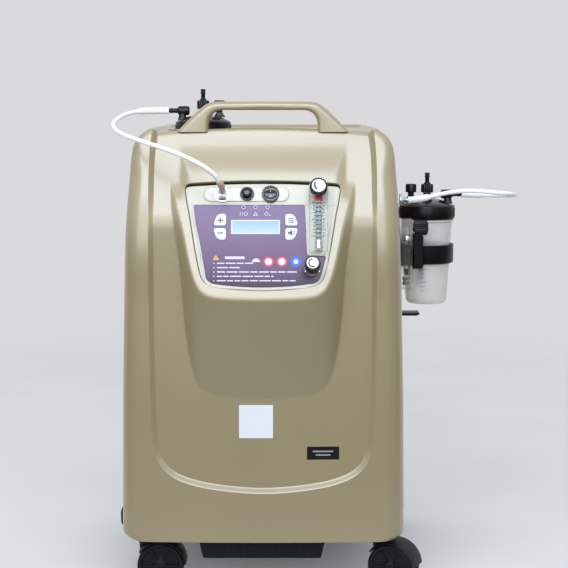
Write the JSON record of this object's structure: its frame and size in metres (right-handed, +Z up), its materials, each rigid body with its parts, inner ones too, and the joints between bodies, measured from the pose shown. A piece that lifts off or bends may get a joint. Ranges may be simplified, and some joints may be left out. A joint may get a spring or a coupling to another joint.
{
  "type": "oxygen concentrator",
  "caption": "Tall tapered cabinet on casters with a leaning control console, carry handle, humidifier bottles in the top and on the side wall, and flow meters.",
  "frame": {"origin": "middle of the footprint of everything but the two hoses, on the floor", "axes": "+Z up, -Y towards someone who faces the control panel, +X to their right, towards the side bottle"},
  "size_m": [0.566, 0.441, 0.694],
  "materials": {
    "shell": "satin champagne paint",
    "chassis": "matt black",
    "panel": "satin cream",
    "overlay": "printed violet film",
    "display": "pale blue screen",
    "chrome": "polished",
    "black": "semi-gloss black",
    "key": "satin white",
    "clear_block": "clear acrylic",
    "jar": "clear polycarbonate",
    "lid": "gloss brown black",
    "seal": "matt",
    "knob": "black with a bright cap",
    "hose": "satin white silicone",
    "tyre": "black nylon and rubber",
    "foam": "open cell foam",
    "cast": "cast",
    "canister": "drawn"
  },
  "bodies": {
    "cabinet": {"front_shell": "shell", "rear_shell": "shell", "bottle_well": "shell", "carry_handle": "shell", "base_chassis": "chassis", "control_panel": "panel", "panel_overlay": "overlay", "lcd_module": "display", "outlet_plate": "panel", "front_nozzle": "chrome", "rocker_bezel": "black", "front_flow_block": "clear_block", "lock_bush": "chrome", "side_nozzle": "chrome", "side_flow_block": "clear_block", "bottle_bracket": "black", "front_hose": "hose", "side_hose": "hose", "cord_hook": "black", "side_bumper": "black", "power_inlet": "black", "fan_frame": "chassis", "compressor": "cast", "sieve_bed_left": "canister", "sieve_bed_right": "canister", "oxygen_tank": "canister", "valve_manifold": "cast"},
    "breaker": {"breaker_button": "black"},
    "rocker": {"power_rocker": "black"},
    "key_plus": {"key_plus": "key"},
    "key_minus": {"key_minus": "key"},
    "key_mode": {"key_mode": "key"},
    "key_mute": {"key_mute": "key"},
    "front_float": {"front_flow_float": "black"},
    "front_knob": {"front_flow_knob": "knob"},
    "lock_knob": {"lock_knob": "knob"},
    "side_float": {"side_flow_float": "black"},
    "side_knob": {"side_flow_knob": "knob"},
    "top_bottle": {"top_lid": "lid", "top_relief_cap": "black", "top_elbow": "black"},
    "top_nut": {"top_outlet_nut": "black"},
    "top_jar": {"top_jar": "jar"},
    "side_bottle": {"side_lid": "lid", "side_seal": "seal", "side_relief_cap": "black", "side_elbow": "black"},
    "side_nut": {"side_outlet_nut": "black"},
    "side_jar": {"side_jar": "jar"},
    "filter_door": {"filter_door": "shell", "intake_filter": "foam"},
    "fan": {"fan_rotor": "chassis"},
    "fork_front_left": {"caster_fork_front_left": "chassis"},
    "wheels_front_left": {"caster_wheels_front_left": "tyre"},
    "fork_front_right": {"caster_fork_front_right": "chassis"},
    "wheels_front_right": {"caster_wheels_front_right": "tyre"},
    "fork_rear_left": {"caster_fork_rear_left": "chassis"},
    "wheels_rear_left": {"caster_wheels_rear_left": "tyre"},
    "fork_rear_right": {"caster_fork_rear_right": "chassis"},
    "wheels_rear_right": {"caster_wheels_rear_right": "tyre"}
  },
  "joints": [
    {"name": "breaker_push", "type": "slide", "parent": "cabinet", "child": "breaker", "axis": [0, 0.9272, -0.3746], "range_m": [0, 0.002], "stiffness_N_per_m": 2000},
    {"name": "rocker_tilt", "type": "hinge", "parent": "cabinet", "child": "rocker", "pos_m": [-0.02945, -0.15177, 0.55256], "axis": [1, 0, 0], "range_deg": [0, 12]},
    {"name": "key_plus_press", "type": "slide", "parent": "cabinet", "child": "key_plus", "axis": [0, 0.9272, -0.3746], "range_m": [0, 0.0006], "stiffness_N_per_m": 2500},
    {"name": "key_minus_press", "type": "slide", "parent": "cabinet", "child": "key_minus", "axis": [0, 0.9272, -0.3746], "range_m": [0, 0.0006], "stiffness_N_per_m": 2500},
    {"name": "key_mode_press", "type": "slide", "parent": "cabinet", "child": "key_mode", "axis": [0, 0.9272, -0.3746], "range_m": [0, 0.0006], "stiffness_N_per_m": 2500},
    {"name": "key_mute_press", "type": "slide", "parent": "cabinet", "child": "key_mute", "axis": [0, 0.9272, -0.3746], "range_m": [0, 0.0006], "stiffness_N_per_m": 2500},
    {"name": "front_float_rise", "type": "slide", "parent": "cabinet", "child": "front_float", "axis": [0, 0.3746, 0.9272], "range_m": [0, 0.055]},
    {"name": "front_knob_turn", "type": "hinge", "parent": "cabinet", "child": "front_knob", "pos_m": [0.03475, -0.16177, 0.55983], "axis": [0, -0.9272, 0.3746], "range_deg": [-720, 360]},
    {"name": "lock_knob_turn", "type": "hinge", "parent": "cabinet", "child": "lock_knob", "pos_m": [0.02635, -0.20641, 0.46268], "axis": [0, -0.9272, 0.3746], "range_deg": [-180, 180]},
    {"name": "side_float_rise", "type": "slide", "parent": "cabinet", "child": "side_float", "axis": [0, 0, 1], "range_m": [0, 0.055]},
    {"name": "side_knob_turn", "type": "hinge", "parent": "cabinet", "child": "side_knob", "pos_m": [0.18005, -0.09748, 0.503], "axis": [1, 0, 0], "range_deg": [-720, 360]},
    {"name": "top_bottle_lift", "type": "slide", "parent": "cabinet", "child": "top_bottle", "axis": [0, 0, 1], "range_m": [0, 0.16]},
    {"name": "top_nut_turn", "type": "hinge", "parent": "top_bottle", "child": "top_nut", "pos_m": [-0.12625, -0.02248, 0.672], "axis": [0, 0, 1], "range_deg": [-30, 720]},
    {"name": "top_jar_turn", "type": "hinge", "parent": "top_bottle", "child": "top_jar", "pos_m": [-0.12625, -0.02248, 0.588], "axis": [0, 0, 1], "range_deg": [-10, 400]},
    {"name": "side_bottle_lift", "type": "slide", "parent": "cabinet", "child": "side_bottle", "axis": [0, 0, 1], "range_m": [0, 0.13]},
    {"name": "side_nut_turn", "type": "hinge", "parent": "side_bottle", "child": "side_nut", "pos_m": [0.19255, -0.03248, 0.554], "axis": [0, 0, 1], "range_deg": [-30, 720]},
    {"name": "side_jar_turn", "type": "hinge", "parent": "side_bottle", "child": "side_jar", "pos_m": [0.19255, -0.03248, 0.47], "axis": [0, 0, 1], "range_deg": [-10, 400]},
    {"name": "filter_door_swing", "type": "hinge", "parent": "cabinet", "child": "filter_door", "pos_m": [-0.11175, 0.21792, 0.45], "axis": [0, 0, 1], "range_deg": [0, 110]},
    {"name": "fan_spin", "type": "hinge", "parent": "cabinet", "child": "fan", "pos_m": [-0.03995, 0.18752, 0.23], "axis": [0, 1, 0], "continuous": true},
    {"name": "swivel_front_left", "type": "hinge", "parent": "cabinet", "child": "fork_front_left", "pos_m": [-0.20395, -0.12248, 0.075], "axis": [0, 0, 1], "continuous": true},
    {"name": "roll_front_left", "type": "hinge", "parent": "fork_front_left", "child": "wheels_front_left", "pos_m": [-0.18395, -0.12248, 0.0325], "axis": [0, 1, 0], "continuous": true},
    {"name": "swivel_front_right", "type": "hinge", "parent": "cabinet", "child": "fork_front_right", "pos_m": [0.12405, -0.12248, 0.075], "axis": [0, 0, 1], "continuous": true},
    {"name": "roll_front_right", "type": "hinge", "parent": "fork_front_right", "child": "wheels_front_right", "pos_m": [0.14218, -0.13093, 0.0325], "axis": [0.4226, 0.9063, 0], "continuous": true},
    {"name": "swivel_rear_left", "type": "hinge", "parent": "cabinet", "child": "fork_rear_left", "pos_m": [-0.20395, 0.17752, 0.075], "axis": [0, 0, 1], "continuous": true},
    {"name": "roll_rear_left", "type": "hinge", "parent": "fork_rear_left", "child": "wheels_rear_left", "pos_m": [-0.18395, 0.17752, 0.0325], "axis": [0, 1, 0], "continuous": true},
    {"name": "swivel_rear_right", "type": "hinge", "parent": "cabinet", "child": "fork_rear_right", "pos_m": [0.12405, 0.17752, 0.075], "axis": [0, 0, 1], "continuous": true},
    {"name": "roll_rear_right", "type": "hinge", "parent": "fork_rear_right", "child": "wheels_rear_right", "pos_m": [0.14405, 0.17752, 0.0325], "axis": [0, 1, 0], "continuous": true}
  ]
}
